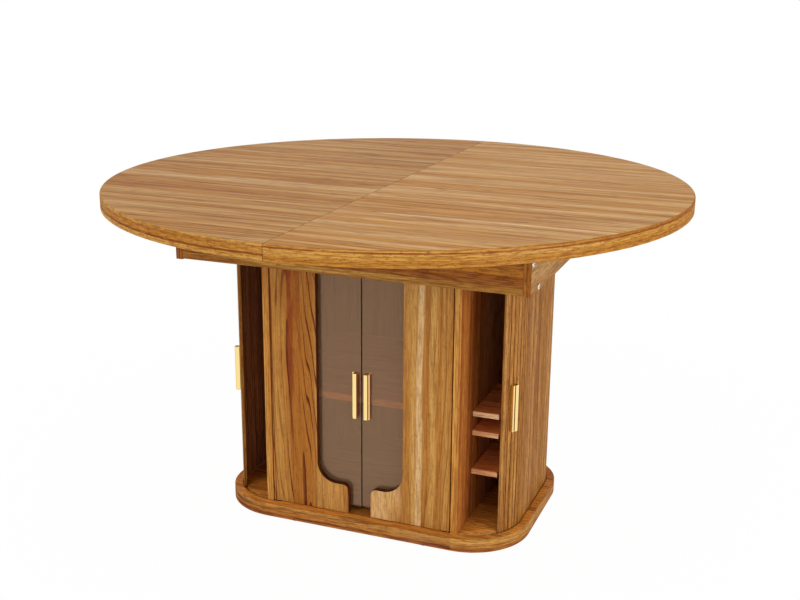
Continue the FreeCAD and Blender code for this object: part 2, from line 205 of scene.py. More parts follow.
    # broad bands first and pores last, each laid over the ones before
    tone = linear(dark)
    for part, low, high, at_low, at_high, colour in (
            ("bands", 0.38, 0.62, 0.0, 1.0, light),
            ("streaks", 0.52, 0.63, 0.0, streak_share, streak),
            ("rings", 0.0, 1.0, 0.0, line_share, line),
            *stripes,
            ("fibres", 0.38, 0.56, fibre_share, 0.0, line),
            ("fibres", 0.55, 0.7, 0.0, 0.5 * fibre_share, light),
            ("pores", 0.58, 0.7, 0.0, pore_share, line)):
        amount = add(tree, "ShaderNodeMapRange", {"interpolation_type": "SMOOTHSTEP"}, {
            0: figure[part], 1: low, 2: high, 3: at_low, 4: at_high}).outputs[0]
        tone = add(tree, "ShaderNodeMix", {"data_type": "RGBA"}, {
            0: amount, 6: tone, 7: linear(colour)}).outputs[2]
    tree.links.new(tone, shader.inputs["Base Color"])

    # the paper is duller on the dark fibres, and the pores are pressed 0.06 mm into it
    dull = add(tree, "ShaderNodeMapRange", {}, {
        0: figure["fibres"], 1: 0.3, 2: 0.7, 3: roughness + 0.08, 4: roughness - 0.04}).outputs[0]
    tree.links.new(dull, shader.inputs["Roughness"])
    pressed = add(tree, "ShaderNodeBump", {"invert": True}, {
        "Strength": 0.3, "Distance": 0.06 * MM, "Height": figure["pores"]}).outputs[0]
    tree.links.new(pressed, shader.inputs["Normal"])
    return material


WELD_DISTANCE = 0.002 * MM
FLAT_WITHIN = math.radians(0.5)
SMOOTH_WITHIN = math.radians(28)


def merged(node):
    """A copy of a CAD piece's mesh with its triangles joined and its flat faces made whole."""
    bm = bmesh.new()
    bm.from_mesh(frame["nodes"][node].data)
    bmesh.ops.remove_doubles(bm, verts=bm.verts, dist=WELD_DISTANCE)
    bmesh.ops.dissolve_limit(bm, angle_limit=FLAT_WITHIN, verts=bm.verts, edges=bm.edges)
    return bm


def finished(name, bm, *materials):
    """The finished mesh as an object at the origin, smooth but for its real edges.

    The first material is the faces' own, and those after it are for faces that were given its number.
    """
    mesh = bpy.data.meshes.new(name)
    bm.to_mesh(mesh)
    bm.free()
    mesh.shade_smooth()
    mesh.set_sharp_from_angle(angle=SMOOTH_WITHIN)
    for material in materials:
        mesh.materials.append(material)
    piece = bpy.data.objects.new(name, mesh)
    bpy.context.scene.collection.objects.link(piece)
    return piece


def walk_round(x, y, half_length, half_depth, radius):
    """How far along a rounded outline a point lies, from the middle of the front, on the right side."""
    straight_x, straight_y = half_length - radius, half_depth - radius
    quarter = radius * math.pi / 2
    if y < -straight_y:
        return min(x, straight_x) + radius * math.atan2(max(0.0, x - straight_x), -y - straight_y)
    if y <= straight_y:
        return straight_x + quarter + y + straight_y
    turned = math.atan2(y - straight_y, max(0.0, x - straight_x))
    passed = straight_x + quarter + 2 * straight_y + radius * turned
    return passed + (straight_x - x if x < straight_x else 0.0)


# a face is square to a direction when its normal has at least this share of it
SQUARE_ON = 0.9
# where the edge bands stand among a piece's materials, after the one of its faces
BAND, END_BAND = 1, 2


def band_edge(bm, half_length, half_depth, radius):
    """Gives the edge's faces the band's material and a UV of length along the edge and height."""
    layer = bm.loops.layers.uv.new("band")
    for face in bm.faces:
        if abs(face.normal.z) > SQUARE_ON:
            continue
        face.material_index = BAND
        side = math.copysign(1.0, face.calc_center_median().x)
        for loop in face.loops:
            x, y, z = loop.vert.co
            loop[layer].uv = (side * walk_round(side * x, y, half_length, half_depth, radius), z)


plinth_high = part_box("plinth_board")[1]
PLINTH_CORNER = 138.5 * MM
BAND_JOINT = 222.5 * MM
# a mark that ends its fade this far before any board begins runs through the whole of it
UNFADED = (-9e3, -8e3)

# warm honey paper on the board, and a browner band with a dark vein low along it; the length of band
# round the right-hand end is a paler one, cut from another part of the roll
plinth_print = printed_wood("plinth_oak_print", "#DA8E3B", "#B76D27", "#8F4B19", "#6B360D",
                            ring_spacing=8.0, line_share=0.55)
plinth_band_figure = dict(banded=True, band_width=20.0, streak_width=9.0, waviness=3.0)
plinth_band = printed_wood("plinth_edge_band", "#B7813E", "#A46428", "#782B08", "#470C01",
                           line_share=0.6, marks=((1, 14.0, 3.0, 0.8, "#6A2C10", *UNFADED),),
                           **plinth_band_figure)
plinth_end_band = printed_wood("plinth_end_edge_band", "#BE8D46", "#A1682A", "#854014", "#5D1F03",
                               line_share=0.4, marks=((1, 20.0, 1.5, 0.5, "#7A4418", *UNFADED),),
                               **plinth_band_figure)

plinth_mesh = merged("plinth_board")
for cut_x in (0.0, BAND_JOINT):
    whole = plinth_mesh.verts[:] + plinth_mesh.edges[:] + plinth_mesh.faces[:]
    bmesh.ops.bisect_plane(plinth_mesh, geom=whole, plane_co=(cut_x, 0.0, 0.0),
                           plane_no=(1.0, 0.0, 0.0))
band_edge(plinth_mesh, plinth_high.x, plinth_high.y, PLINTH_CORNER)
for face in plinth_mesh.faces:
    if face.material_index == BAND and face.calc_center_median().x > BAND_JOINT:
        face.material_index = END_BAND
plinth = finished("plinth_base_board", plinth_mesh, plinth_print, plinth_band, plinth_end_band)
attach(plinth, "table")
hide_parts("plinth_board")


# ---- tabletop -----------------------------------------------------------------------
# Two half discs of 32 mm board, butted along a seam that runs from front to back. The faces are oak
# print with its grain along the table, and a soft-formed band of browner print goes round the rim.
top_low, top_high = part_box("top_right")
TOP_RADIUS = top_high.x
TOP_RIM_SEGMENTS = 320
RIM_ROUNDING = 3.2 * MM
RIM_UNDER_EDGE = 0.8 * MM
# a narrow strip of the face next to the rounding, which keeps the light on the rest of it flat
RIM_STRIP = 1.5 * MM
SEAM_HALF_GAP = top_low.x
# points nearer than this lie at one level
LEVEL_SLACK = MM / 10
BACKING, BUTT_EDGE = 2, 3


def half_disc(side):
    """One half of the top: a round disc with a rounded rim, cut at the seam and closed there."""
    bm = bmesh.new()
    bmesh.ops.create_circle(bm, cap_ends=True, segments=TOP_RIM_SEGMENTS, radius=TOP_RADIUS,
                            matrix=Matrix.Translation((0.0, 0.0, top_low.z)))
    grown = bmesh.ops.extrude_face_region(bm, geom=bm.faces[:])
    raised = [v for v in grown["geom"] if isinstance(v, bmesh.types.BMVert)]
    bmesh.ops.translate(bm, verts=raised, vec=(0.0, 0.0, top_high.z - top_low.z))
    bmesh.ops.recalc_face_normals(bm, faces=bm.faces)
    for level, width, steps in ((top_high.z, RIM_ROUNDING, 5), (top_low.z, RIM_UNDER_EDGE, 1)):
        rim = [e for e in bm.edges if all(abs(v.co.z - level) < LEVEL_SLACK for v in e.verts)]
        bmesh.ops.bevel(bm, geom=rim, offset=width, segments=steps, profile=0.5,
                        affect="EDGES", material=-1)
    top_face = max(bm.faces, key=lambda f: f.calc_center_median().z)
    bmesh.ops.inset_region(bm, faces=[top_face], thickness=RIM_STRIP)
    cut = bmesh.ops.bisect_plane(bm, geom=bm.verts[:] + bm.edges[:] + bm.faces[:],
                                 plane_co=(side * SEAM_HALF_GAP, 0.0, 0.0),
                                 plane_no=(side, 0.0, 0.0), clear_inner=True)
    open_edges = [e for e in cut["geom_cut"] if isinstance(e, bmesh.types.BMEdge)]
    bmesh.ops.edgeloop_fill(bm, edges=open_edges)
    bmesh.ops.recalc_face_normals(bm, faces=bm.faces)
    band_edge(bm, TOP_RADIUS, TOP_RADIUS, TOP_RADIUS)
    for face in bm.faces:
        if face.normal.z < -SQUARE_ON:
            face.material_index = BACKING
        elif abs(face.normal.x) > SQUARE_ON and abs(face.calc_center_median().x) < MM:
            face.material_index = BUTT_EDGE
    return bm


# satin paper on the faces: a pale tan with close, fine dark lines, smoother than the upright boards'
# and a touch paler on the right half; each half has a few broad stripes of its own. The fibres are
# drawn several times coarser than real ones, because the face is seen at a low angle
top_figure = dict(roughness=0.24, streak_width=11.0, band_width=36.0, ring_dark=0.76,
                  fibre_size=(240.0, 4.5), pore_size=(45.0, 4.0), pore_share=0.4)
top_prints = {
    "left": printed_wood("top_left_oak_print", "#C4985D", "#AF752E", "#915316", "#632C09",
                         line_share=0.5, streak_share=0.4, fibre_share=0.45,
                         marks=((1, -256.0, 13.0, 0.6, "#93521C", *UNFADED),
                                (1, -370.0, 4.0, 0.6, "#8C541C", *UNFADED),
                                (1, -125.0, 26.0, 0.6, "#D0A876", *UNFADED)), **top_figure),
    "right": printed_wood("top_right_oak_print", "#D0A56B", "#B97F36", "#9A5B1B", "#6A310B",
                          line_share=0.42, streak_share=0.32, fibre_share=0.4,
                          shift=(2600.0, 410.0, 0.0),
                          marks=((1, 80.0, 6.0, 0.85, "#E2C296", 2640.0, 2760.0),
                                 (1, 205.0, 8.0, 0.5, "#8C541C", *UNFADED)), **top_figure),
}
# the rim's soft-formed band: a warmer brown, with a strong and a faint dark vein along each half
rim_figure = dict(light="#BB8A40", dark="#A97327", streak="#8F4F13", line="#6C3305", banded=True,
                  fibre_size=(24.0, 3.0), pore_size=(8.0, 2.6))
rim_bands = {
    "left": printed_wood("rim_band_left", band_width=22.0, streak_width=7.0, waviness=2.5,
                         ring_spacing=6.0, pore_share=0.7,
                         marks=((1, 739.0, 2.0, 0.9, "#6E2E0C", *UNFADED),
                                (1, 752.0, 4.0, 0.45, "#8A4618", *UNFADED)), **rim_figure),
    "right": printed_wood("rim_band_right", band_width=24.0, streak_width=8.0, waviness=2.0,
                          ring_spacing=7.0, pore_share=0.6, shift=(900.0, 0.0, 0.0),
                          marks=((1, 754.4, 1.8, 0.9, "#7A3410", *UNFADED),
                                 (1, 737.0, 1.3, 0.55, "#8A4618", *UNFADED)), **rim_figure),
}
# underneath, a dull balancing paper with hardly a figure, and in the seam a sealed cut face so dark
# that the joint reads as a thin line
backing_paper = printed_wood("backing_paper", "#A98A66", "#9C7D5A", "#8E6F4E", "#7A5C3E",
                             streak_share=0.2, line_share=0.1, roughness=0.6)
butt_edge = printed_wood("sealed_butt_edge", "#4E2812", "#3C1C0C", "#2E1408", "#200C04", grain="y",
                         band_width=12.0, streak_width=5.0)
for side_name, side in (("left", -1), ("right", 1)):
    half = finished(f"top_{side_name}_half", half_disc(side), top_prints[side_name],
                    rim_bands[side_name], backing_paper, butt_edge)
    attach(half, "table")
    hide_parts(f"top_{side_name}")


# ---- apron, tray and end boards -----------------------------------------------------
# A box of 16 mm boards carries the top. Long boards front and back stand on the tray that closes the
# cabinet, and the end boards cover their ends. All are faced with a browner print and edge-banded.
BOARD_EDGE = 0.7 * MM
SHORTEST_EASED = 1.2 * MM
CORNER_ANGLE = math.radians(40)
# a face looks along an axis when its normal leans to it at least this much, as an eased edge's does
LEANS = 0.5


def eased(node, width=BOARD_EDGE):
    """A copy of a CAD piece with its outer edges broken by a small flat, as a banding cutter does."""
    bm = merged(node)
    sharp = [e for e in bm.edges if e.is_manifold and e.is_convex
             and e.calc_face_angle() > CORNER_ANGLE and e.calc_length() > SHORTEST_EASED]
    bmesh.ops.bevel(bm, geom=sharp, offset=width, segments=1, profile=0.5, affect="EDGES",
                    material=-1, clamp_overlap=True)
    return bm


def banded(bm, axis, along):
    """The mesh with its band's material on the faces that look along an axis, or on all the others."""
    for face in bm.faces:
        if (abs(face.normal[axis]) > LEANS) == along:
            face.material_index = BAND
    return bm


# the long boards are a deep brown with strong dark lines, the tray has a yellower, finer print, and
# the end boards are a dry tan with darker bands on their upright edges
apron_print = printed_wood("apron_oak_print", "#B17124", "#985D26", "#76350E", "#4F1300",
                           band_width=34.0, streak_width=14.0, line_share=0.7,
                           pith=(60.0, -640.0), tilt=(0.0, 0.02))
tray_print = printed_wood("tray_oak_print", "#BC8E45", "#9F6D2C", "#804D1B", "#6E3004",
                          band_width=14.0, streak_width=6.0, ring_spacing=6.0, line_share=0.35)
end_print = printed_wood("end_board_oak_print", "#B78C54", "#A1713C", "#8B5F2D", "#734517", grain="y",
                         band_width=30.0, streak_width=10.0, ring_spacing=7.0, line_share=0.5)
end_edge_print = printed_wood("end_board_edge_band", "#A56725", "#854B16", "#683208", "#4E2103",
                              grain="z", band_width=12.0, streak_width=5.0, ring_spacing=5.0)
for node, print_used, slot_name in (
        ("apron_front", apron_print, "apron_laminate"),
        ("apron_back", apron_print, "apron_laminate"),
        ("cabinet_ceiling", tray_print, "ceiling_laminate")):
    board = finished(f"{node}_board", eased(node), print_used)
    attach(board, "table")
    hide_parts(node)
for node in ("end_board_left", "end_board_right"):
    board = finished(f"{node}_board", banded(eased(node), axis=1, along=True), end_print,
                     end_edge_print)
    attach(board, "table")
    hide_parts(node)


def dress(node, material):
    """A CAD piece that keeps its own shape gets its finish."""
    for slot in frame["nodes"][node].material_slots:
        slot.material = material


dress("apron_middle_rail", apron_print)


# ---- corner blocks and seam brackets ------------------------------------------------
# Offcuts of bare chipboard are glued and screwed in the corners of the apron to hold the top. Pressed
# steel plates, bright zinc, join the two halves across the seam.
FLAKE_SIZE = 3 * MM


def chipboard(name):
    """Bare chipboard: pale resin-bound flakes of 2 to 4 mm, some dark, with a dry rough cut face."""
    material, tree, shader = blank(name, Roughness=0.85)
    place = add(tree, "ShaderNodeTexCoord", {}, {}).outputs["Object"]
    flakes = add(tree, "ShaderNodeTexVoronoi", {}, {"Vector": place, "Scale": 1 / FLAKE_SIZE})
    tint = add(tree, "ShaderNodeSeparateColor", {}, {0: flakes.outputs["Color"]}).outputs[0]
    tone = add(tree, "ShaderNodeMix", {"data_type": "RGBA"}, {
        0: tint, 6: linear("#B9935F"), 7: linear("#DCC095")}).outputs[2]
    tree.links.new(tone, shader.inputs["Base Color"])
    rough = add(tree, "ShaderNodeBump", {}, {
        "Strength": 0.5, "Distance": 0.2 * MM, "Height": flakes.outputs["Distance"]}).outputs[0]
    tree.links.new(rough, shader.inputs["Normal"])
    return material


LINE_SPACING = 0.5 * MM
LINE_LENGTH = 40 * MM


def brushed_metal(name, colour, roughness):
    """Plated or anodised metal with fine upright lines, brushed into the pulls and rolled into the rest.

    Real lines are about a tenth of a millimetre apart, and are drawn coarser here so that they show.
    """
    material, tree, shader = blank(name, Metallic=1.0, Base_Color=linear(colour))
    place = add(tree, "ShaderNodeTexCoord", {}, {}).outputs["Object"]
    cell = add(tree, "ShaderNodeMapping", {}, {
        "Vector": place, "Scale": (1 / LINE_SPACING, 1 / LINE_SPACING, 1 / LINE_LENGTH)}).outputs[0]
    lines = add(tree, "ShaderNodeTexNoise", {}, {"Vector": cell, "Scale": 1.0, "Detail": 2.0}).outputs[0]
    dull = add(tree, "ShaderNodeMapRange", {}, {
        0: lines, 1: 0.3, 2: 0.7, 3: roughness - 0.05, 4: roughness + 0.07}).outputs[0]
    tree.links.new(dull, shader.inputs["Roughness"])
    scored = add(tree, "ShaderNodeBump", {}, {
        "Strength": 0.15, "Distance": 0.02 * MM, "Height": lines}).outputs[0]
    tree.links.new(scored, shader.inputs["Normal"])
    return material


raw_chipboard = chipboard("bare_chipboard")
# bright zinc: a cool grey shine, softened by the rolling lines under it
zinc_steel = brushed_metal("zinc_plated_steel", "#C4C6C8", 0.3)
dress("apron_corner_blocks", raw_chipboard)
dress("seam_brackets", zinc_steel)


# ---- apron bolts --------------------------------------------------------------------
# Furniture bolts join the long boards and the tray to the end boards. Each has a turned, nickel
# plated cap with a rolled edge and a hexagon socket for the key.
end_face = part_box("end_board_right")[1].x
CAP_RADIUS = 6.5 * MM
CAP_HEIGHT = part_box("apron_bolts")[1].x - end_face
CAP_ROLL = 1.2 * MM
CAP_SEGMENTS = 48
SOCKET_RADIUS = 2.6 * MM
SOCKET_EASE = 0.3 * MM
SOCKET_DEPTH = 1.9 * MM
SHANK_RADIUS = 3.0 * MM
SHANK_LENGTH = 50.0 * MM


def part_boxes(node):
    """The lowest and highest corner of each separate solid in a CAD piece, in order along X."""
    bm = merged(node)
    waiting, boxes = set(bm.verts), []
    while waiting:
        found = [waiting.pop()]
        for vert in found:
            beside = {e.other_vert(vert) for e in vert.link_edges} & waiting
            waiting -= beside
            found += beside
        corners = [v.co for v in found]
        boxes.append((Vector([min(c[i] for c in corners) for i in range(3)]),
                      Vector([max(c[i] for c in corners) for i in range(3)])))
    bm.free()
    return sorted(boxes, key=lambda box: tuple(box[0]))


def capped_bolt(bm, place):
    """A bolt along local Z: rolled cap above Z = 0 with a hexagon socket, shank below."""
    new = bmesh.new()
    bmesh.ops.create_cone(new, cap_ends=True, segments=CAP_SEGMENTS, radius1=CAP_RADIUS,
                          radius2=CAP_RADIUS, depth=CAP_HEIGHT,
                          matrix=Matrix.Translation((0.0, 0.0, CAP_HEIGHT / 2)))
    rim = [e for e in new.edges if all(v.co.z > CAP_HEIGHT - LEVEL_SLACK for v in e.verts)]
    bmesh.ops.bevel(new, geom=rim, offset=CAP_ROLL, segments=4, profile=0.5, affect="EDGES",
                    material=-1)
    crown = max(new.faces, key=lambda f: f.calc_center_median().z)
    bmesh.ops.inset_region(new, faces=[crown],
                           thickness=CAP_RADIUS - CAP_ROLL - SOCKET_RADIUS - SOCKET_EASE)
    mouth = list(crown.edges)
    bmesh.ops.delete(new, geom=[crown], context="FACES_ONLY")
    key = bmesh.ops.create_circle(new, cap_ends=False, segments=6, radius=SOCKET_RADIUS,
                                  matrix=Matrix.Translation((0.0, 0.0, CAP_HEIGHT - SOCKET_EASE)))
    hexagon = list({e for v in key["verts"] for e in v.link_edges})
    bmesh.ops.bridge_loops(new, edges=mouth + hexagon)
    sunk = bmesh.ops.extrude_edge_only(new, edges=hexagon)["geom"]
    bmesh.ops.translate(new, verts=[v for v in sunk if isinstance(v, bmesh.types.BMVert)],
                        vec=(0.0, 0.0, SOCKET_EASE - SOCKET_DEPTH))
    bmesh.ops.edgeloop_fill(new, edges=[e for e in sunk if isinstance(e, bmesh.types.BMEdge)])
    under = min(new.faces, key=lambda f: f.calc_center_median().z)
    bmesh.ops.inset_region(new, faces=[under], thickness=CAP_RADIUS - SHANK_RADIUS)
    shank = bmesh.ops.extrude_face_region(new, geom=[under])["geom"]
    bmesh.ops.delete(new, geom=[under], context="FACES_ONLY")
    bmesh.ops.translate(new, verts=[v for v in shank if isinstance(v, bmesh.types.BMVert)],
                        vec=(0.0, 0.0, -SHANK_LENGTH))
    bmesh.ops.recalc_face_normals(new, faces=new.faces)
    new.transform(place)
    joined = bpy.data.meshes.new("joined")
    new.to_mesh(joined)
    new.free()
    bm.from_mesh(joined)
    bpy.data.meshes.remove(joined)


# nickel plate: a warm white shine, sharper than the zinc's
nickel = brushed_metal("nickel_plated_steel", "#D8D8D4", 0.22)
bolts = bmesh.new()
for low, high in part_boxes("apron_bolts"):
    middle = (low + high) / 2
    side = math.copysign(1.0, middle.x)
    turn = Matrix.Rotation(side * math.pi / 2, 4, "Y")
    capped_bolt(bolts, Matrix.Translation((side * end_face, middle.y, middle.z)) @ turn)
bolt_piece = finished("apron_capped_bolts", bolts, nickel)
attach(bolt_piece, "table")
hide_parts("apron_bolts")


# ---- feet ---------------------------------------------------------------------------
# Round glides of black nylon, moulded in one piece with a rounded tread and nailed under the plinth,
# so that the board stands clear of a wet floor.
SPARK_SIZE = 0.6 * MM


def moulded_plastic(name, colour, fleck, roughness):
    """A moulded or sprayed finish: an even colour under a faint spark texture or orange peel.

    A real one's grain is 0.1 to 0.3 mm, and is drawn coarser here so that it shows.
    """
    material, tree, shader = blank(name, Roughness=roughness, IOR=1.46)
    place = add(tree, "ShaderNodeTexCoord", {}, {}).outputs["Object"]
    grain = add(tree, "ShaderNodeTexNoise", {}, {
        "Vector": place, "Scale": 1 / SPARK_SIZE, "Detail": 2.0})
    tone = add(tree, "ShaderNodeMix", {"data_type": "RGBA"}, {
        0: grain.outputs[0], 6: linear(colour), 7: linear(fleck)}).outputs[2]
    tree.links.new(tone, shader.inputs["Base Color"])
    spark = add(tree, "ShaderNodeBump", {}, {
        "Strength": 0.3, "Distance": 0.03 * MM, "Height": grain.outputs[0]}).outputs[0]
    tree.links.new(spark, shader.inputs["Normal"])
    return material


# moulded nylon: a satin near-black that the spark texture greys where light strikes it
black_nylon = moulded_plastic("black_nylon", "#1A1A1B", "#2A2A2C", 0.5)
TREAD_ROUNDING = 2.0 * MM
FOOT_SEGMENTS = 40
feet = bmesh.new()
for low, high in part_boxes("plinth_feet"):
    radius = (high.x - low.x) / 2
    made = bmesh.ops.create_cone(feet, cap_ends=True, segments=FOOT_SEGMENTS, radius1=radius,
                                 radius2=radius, depth=high.z - low.z,
                                 matrix=Matrix.Translation((low + high) / 2))
    tread = {e for v in made["verts"] for e in v.link_edges
             if all(w.co.z < low.z + LEVEL_SLACK for w in e.verts)}
    bmesh.ops.bevel(feet, geom=list(tread), offset=TREAD_ROUNDING, segments=4, profile=0.5,
                    affect="EDGES", material=-1)
feet_piece = finished("nylon_feet", feet, black_nylon)
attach(feet_piece, "table")
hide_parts("plinth_feet")


# ---- partitions ---------------------------------------------------------------------
# Two upright boards stand between the plinth and the tray, between the doors and the tambours' bays.
# Their print runs upright, over the banded front edges too.

# reddish brown faces with a broad paler stripe down them, and a honey band with fine lines
partition_print = printed_wood("partition_oak_print", "#BF7837", "#9D5625", "#833E19", "#692D0C",
                               grain="z", band_width=20.0, streak_width=8.0, ring_spacing=8.0,
                               line_share=0.4, marks=((1, 80.0, 150.0, 0.85, "#C48A5A", *UNFADED),))
partition_band = printed_wood("partition_edge_band", "#C79147", "#B07730", "#965922", "#844A15",
                              grain="z", band_width=22.0, streak_width=6.0, line_share=0.5,
                              pith=(250.0, 232.0), tilt=(0.0, 0.05))
for node in ("partition_left", "partition_right"):
    board = finished(f"{node}_board", banded(eased(node), axis=0, along=False), partition_print,
                     partition_band)
    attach(board, "table")
    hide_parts(node)


# ---- back panel and rear corners ----------------------------------------------------
# The back is a 3 mm printed hardboard panel, screwed to the partitions' rear edges. Beside it two
# sheets of the same board, bent to a quarter round, hide the tambours when they slide back.

# printed hardboard: a duller brown, in broad quiet bands
back_print = printed_wood("back_board_print", "#B07738", "#985E27", "#844A1F", "#743F16", grain="z",
                          band_width=50.0, streak_width=18.0, roughness=0.5)
SHEET_EDGE = 0.4 * MM
for node in ("back_panel", "rear_corner_left", "rear_corner_right"):
    sheet_board = finished(f"{node}_sheet", eased(node, SHEET_EDGE), back_print)
    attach(sheet_board, "table")
    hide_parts(node)


# ---- centre shelf and bay shelves ---------------------------------------------------
# Shelves of the same board in a warmer, redder print with pale banded front edges. The wide one lies on
# four steel pins behind the glass, and the three narrow ones butt against the right-hand partition.

# salmon orange faces with few lines, and a pale peach band
shelf_print = printed_wood("shelf_oak_print", "#FFA868", "#FA9850", "#DC7A38", "#A04C1C",
                           band_width=20.0, streak_width=8.0, ring_spacing=6.0, line_share=0.35)
shelf_edge_print = printed_wood("shelf_edge_band", "#FFD8A7", "#FFC58E", "#F3A46A", "#D4874F",
                                band_width=10.0, streak_width=5.0, line_share=0.3)
for node in ("centre_shelf", "bay_shelf_lower", "bay_shelf_middle", "bay_shelf_upper"):
    board = finished(f"{node}_board", banded(eased(node), axis=1, along=True), shelf_print,
                     shelf_edge_print)
    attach(board, "table")
    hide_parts(node)
dress("shelf_pins", zinc_steel)


# ---- doors: wood panels -------------------------------------------------------------
# Each door's outer half is a 15 mm panel, cut on a router to a stile that sweeps into a low toe. The
# print shows a flat-sawn figure, pointed arches of growth rings that run up the stile.

# golden brown paper; the left door's arches are nearly black brown, the right one's softer, and each
# has stripes of its own, the palest of them down its toe
door_prints = {
    "left": printed_wood("left_door_oak_print", "#B27F3C", "#9E6222", "#803F13", "#511803", grain="z",
                         band_width=30.0, streak_width=10.0, ring_spacing=11.5, line_share=1.0,
                         ring_dark=0.64, streak_share=0.5, fibre_share=0.22, pore_share=0.4,
                         pith=(238.0, -122.0), tilt=(0.08, 0.055), waviness=6.0,
                         marks=((2, 60.0, 40.0, 0.5, "#C08C4C", *UNFADED),
                                (2, 191.0, 18.0, 0.5, "#B8853F", *UNFADED),
                                (2, 209.0, 1.6, 0.85, "#5E240A", *UNFADED),
                                (2, 148.0, 22.0, 0.75, "#8C4014", 550.0, 660.0),
                                (2, 156.0, 14.0, 0.7, "#863A12", 410.0, 540.0),
                                (2, 163.0, 8.0, 0.8, "#7E3410", 220.0, 380.0))),
    "right": printed_wood("right_door_oak_print", "#BD8F4C", "#A66F2F", "#8A511D", "#764014",
                          grain="z", band_width=24.0, streak_width=9.0, ring_spacing=12.0,
                          line_share=0.7, ring_dark=0.74, streak_share=0.45, fibre_share=0.35,
                          pith=(246.0, 166.0), tilt=(0.0, -0.03), waviness=7.0,
                          marks=((2, -60.0, 44.0, 0.65, "#DCB27C", *UNFADED),
                                 (2, -139.0, 8.0, 0.8, "#D3AF7C", *UNFADED))),
}
# the sawn edge of the cut-out has a very dark band, which draws its outline
dark_edge_band = printed_wood("dark_edge_band", "#55260E", "#431A08", "#381406", "#2A0E04", grain="z",
                              band_width=15.0, streak_width=6.0, roughness=0.45)
PANEL_EDGE = 1.0 * MM
# the sawn edge's faces lean less than this to the front, and its eased corners more
EDGE_ON = 0.3
for side_name in ("left", "right"):
    node = f"door_{side_name}_panel"
    low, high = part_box(node)
    outer = max(abs(low.x), abs(high.x))
    bm = eased(node, PANEL_EDGE)
    for face in bm.faces:
        centre = face.calc_center_median()
        off_side = abs(centre.x) < outer - 2 * PANEL_EDGE
        off_ends = low.z + PANEL_EDGE < centre.z < high.z - PANEL_EDGE
        if off_side and off_ends and abs(face.normal.y) < EDGE_ON:
            face.material_index = BAND
    panel = finished(f"door_{side_name}_shaped_panel", bm, door_prints[side_name], dark_edge_band)
    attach(panel, f"{side_name}_door")
    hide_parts(f"door_{side_name}_panel")


# ---- doors: glass -------------------------------------------------------------------
# A 5 mm sheet of bronze reflective float glass is clipped behind each panel. Its edges are ground, and
# its face mirrors the room in brown, so that the shelf behind shows only faintly.
DRIFT_SIZE = 180 * MM


def tinted_glass(name):
    """Bronze reflective glass: a brownish mirror over a deep brown body that lets little light out.

    Its metal oxide coat mirrors more than bare glass does, which gives the high IOR, and varies very
    slightly over the sheet.
    """
    material, tree, shader = blank(name, Roughness=0.02, IOR=1.75, Transmission_Weight=0.88,
                                   Specular_Tint=linear("#F6C9AE"))
    place = add(tree, "ShaderNodeTexCoord", {}, {}).outputs["Object"]
    drift = add(tree, "ShaderNodeTexNoise", {}, {
        "Vector": place, "Scale": 1 / DRIFT_SIZE, "Detail": 1.0})
    tone = add(tree, "ShaderNodeMix", {"data_type": "RGBA"}, {
        0: drift.outputs[0], 6: linear("#D4AE82"), 7: linear("#D9B388")}).outputs[2]
    tree.links.new(tone, shader.inputs["Base Color"])
    return material


GRIT_SIZE = 1.5 * MM


def ground_glass_edge(name):
    """The ground edge of bronze glass: nearly black brown, because the eye looks along the sheet.

    The grinding's grit is far finer than it is drawn here, where it shows as dull and bright flecks.
    """
    material, tree, shader = blank(name, IOR=1.5)
    place = add(tree, "ShaderNodeTexCoord", {}, {}).outputs["Object"]
    grit = add(tree, "ShaderNodeTexNoise", {}, {
        "Vector": place, "Scale": 1 / GRIT_SIZE, "Detail": 2.0}).outputs[0]
    tone = add(tree, "ShaderNodeMix", {"data_type": "RGBA"}, {
        0: grit, 6: linear("#1E120B"), 7: linear("#382418")}).outputs[2]
    tree.links.new(tone, shader.inputs["Base Color"])
    dull = add(tree, "ShaderNodeMapRange", {}, {0: grit, 1: 0.3, 2: 0.7, 3: 0.3, 4: 0.5}).outputs[0]
    tree.links.new(dull, shader.inputs["Roughness"])
    return material


bronze_glass = tinted_glass("bronze_glass")
bronze_edge = ground_glass_edge("ground_bronze_glass_edge")
for side_name in ("left", "right"):
    sheet = banded(merged(f"door_{side_name}_glass"), axis=1, along=False)
    pane = finished(f"door_{side_name}_pane", sheet, bronze_glass, bronze_edge)
    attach(pane, f"{side_name}_door")
    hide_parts(f"door_{side_name}_glass")
    dress(f"door_{side_name}_glass_clips", black_nylon)
    dress(f"door_{side_name}_pivots", zinc_steel)
    dress(f"door_{side_name}_strike", zinc_steel)
dress("pivot_bushes", black_nylon)
dress("door_catch", black_nylon)


# ---- handles ------------------------------------------------------------------------
# Four short pulls of extruded aluminium channel, open behind and at both ends, with a lower lip along
# one side. They are anodised gold and lightly brushed; a shiny red brown on the doors' pulls' right-hand
# sides and in the groove beside the tambours' lips is painted shade, for the channel's dark shaded
# inside.

# anodised over brushing: a pale gold mirror, drawn out along the bar
gold_anodised = brushed_metal("gold_anodised_aluminium", "#FFE29A", 0.13)
# painted shade: an even, shiny red brown that stands in for the shade in the pulls' sides and grooves
pull_painted_shade = moulded_plastic("pull_painted_shade", "#9A4516", "#8A3A12", 0.3)
HANDLE_EDGE = 0.4 * MM
HANDLE_ROUNDING = 1.5 * MM
# the front corners are edges of most of the pull's height, hardly behind the foremost one
LONG_SHARE = 0.8
FRONT_DEPTH = 2 * MM
END_ANGLE = math.radians(60)
WEB_HEIGHT = 1.4 * MM
LIP_ROOT = 0.5 * MM
LIP_SHORTER = 0.2 * MM
GROOVE_SLACK = 0.1 * MM
# the slot of the painted shade among a pull's materials
PAINTED_SHADE_SLOT = 1
# the middles of the round corners that the tambours run about
arc_x = plinth_high.x - PLINTH_CORNER
arc_y = plinth_high.y - PLINTH_CORNER
